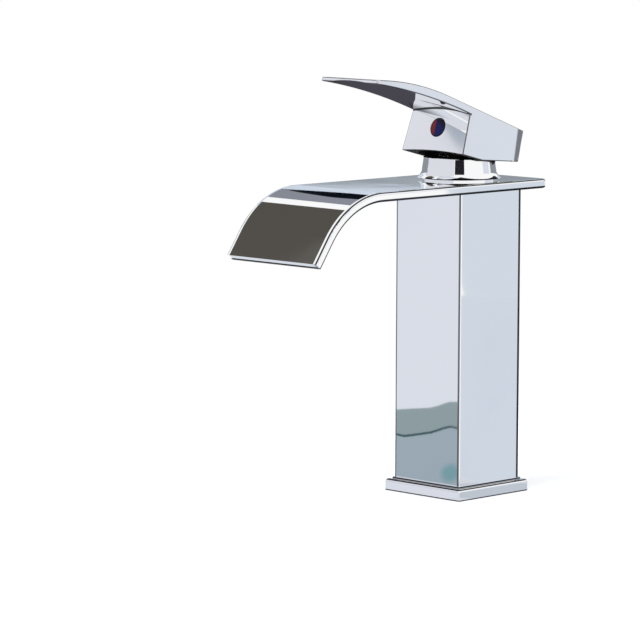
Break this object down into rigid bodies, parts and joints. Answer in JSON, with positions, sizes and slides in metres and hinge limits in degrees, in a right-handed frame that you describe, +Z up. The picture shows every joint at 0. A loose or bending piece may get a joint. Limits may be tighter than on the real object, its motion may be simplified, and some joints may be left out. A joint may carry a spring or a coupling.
{
  "type": "basin faucet",
  "caption": "Single-lever deck-mounted basin mixer: square column, thin curved waterfall spout, round bonnet and flat paddle lever.",
  "frame": {"origin": "centre of the foot's underside, on the deck, on the column's axis", "axes": "+Z up, -Y towards the spout's mouth and the basin, +X to the right seen from the front"},
  "size_m": [0.062, 0.1677, 0.2138],
  "materials": {
    "chrome": "polished mirror chrome",
    "brass": "machined",
    "rubber": "matt black seal",
    "stainless": "drawn stainless",
    "ceramic": "lapped white ceramic",
    "cartridge_plastic": "moulded",
    "indicator": "glossy, red and blue halves"
  },
  "bodies": {
    "faucet_body": {"base_flange": "chrome", "deck_gasket": "rubber", "column_shell": "chrome", "mounting_block": "brass", "block_screws": "stainless", "hot_riser_tube": "stainless", "cold_riser_tube": "stainless", "riser_o_rings": "rubber", "valve_body": "brass", "spout_seals": "rubber", "spout_tray": "chrome", "spout_top_plate": "chrome", "cartridge_nut": "brass", "bonnet": "chrome", "bonnet_seal": "rubber", "cartridge_base": "cartridge_plastic", "inlet_seals": "rubber", "fixed_ceramic_disc": "ceramic", "cartridge_housing": "cartridge_plastic"},
    "turret": {"cartridge_turret": "cartridge_plastic", "turret_o_ring": "rubber", "stem_pin": "stainless"},
    "lever": {"cartridge_stem": "brass", "lever_handle": "chrome", "handle_set_screw": "stainless", "indicator_plug": "indicator"},
    "disc": {"moving_ceramic_disc": "ceramic", "disc_carrier": "cartridge_plastic"}
  },
  "joints": [
    {"name": "mix_turn", "type": "hinge", "parent": "faucet_body", "child": "turret", "pos_m": [0, 0, 0.16], "axis": [0, 0, 1], "range_deg": [-45, 45]},
    {"name": "lever_lift", "type": "hinge", "parent": "turret", "child": "lever", "pos_m": [0, 0, 0.166], "axis": [-1, 0, 0], "range_deg": [-14, 11]},
    {"name": "disc_slide", "type": "slide", "parent": "turret", "child": "disc", "axis": [0, -1, 0], "range_m": [-0.0046, 0.0036]}
  ],
  "couplings": [
    {"joint": "disc_slide", "follows": "lever_lift", "m_per_rad": 0.018}
  ]
}
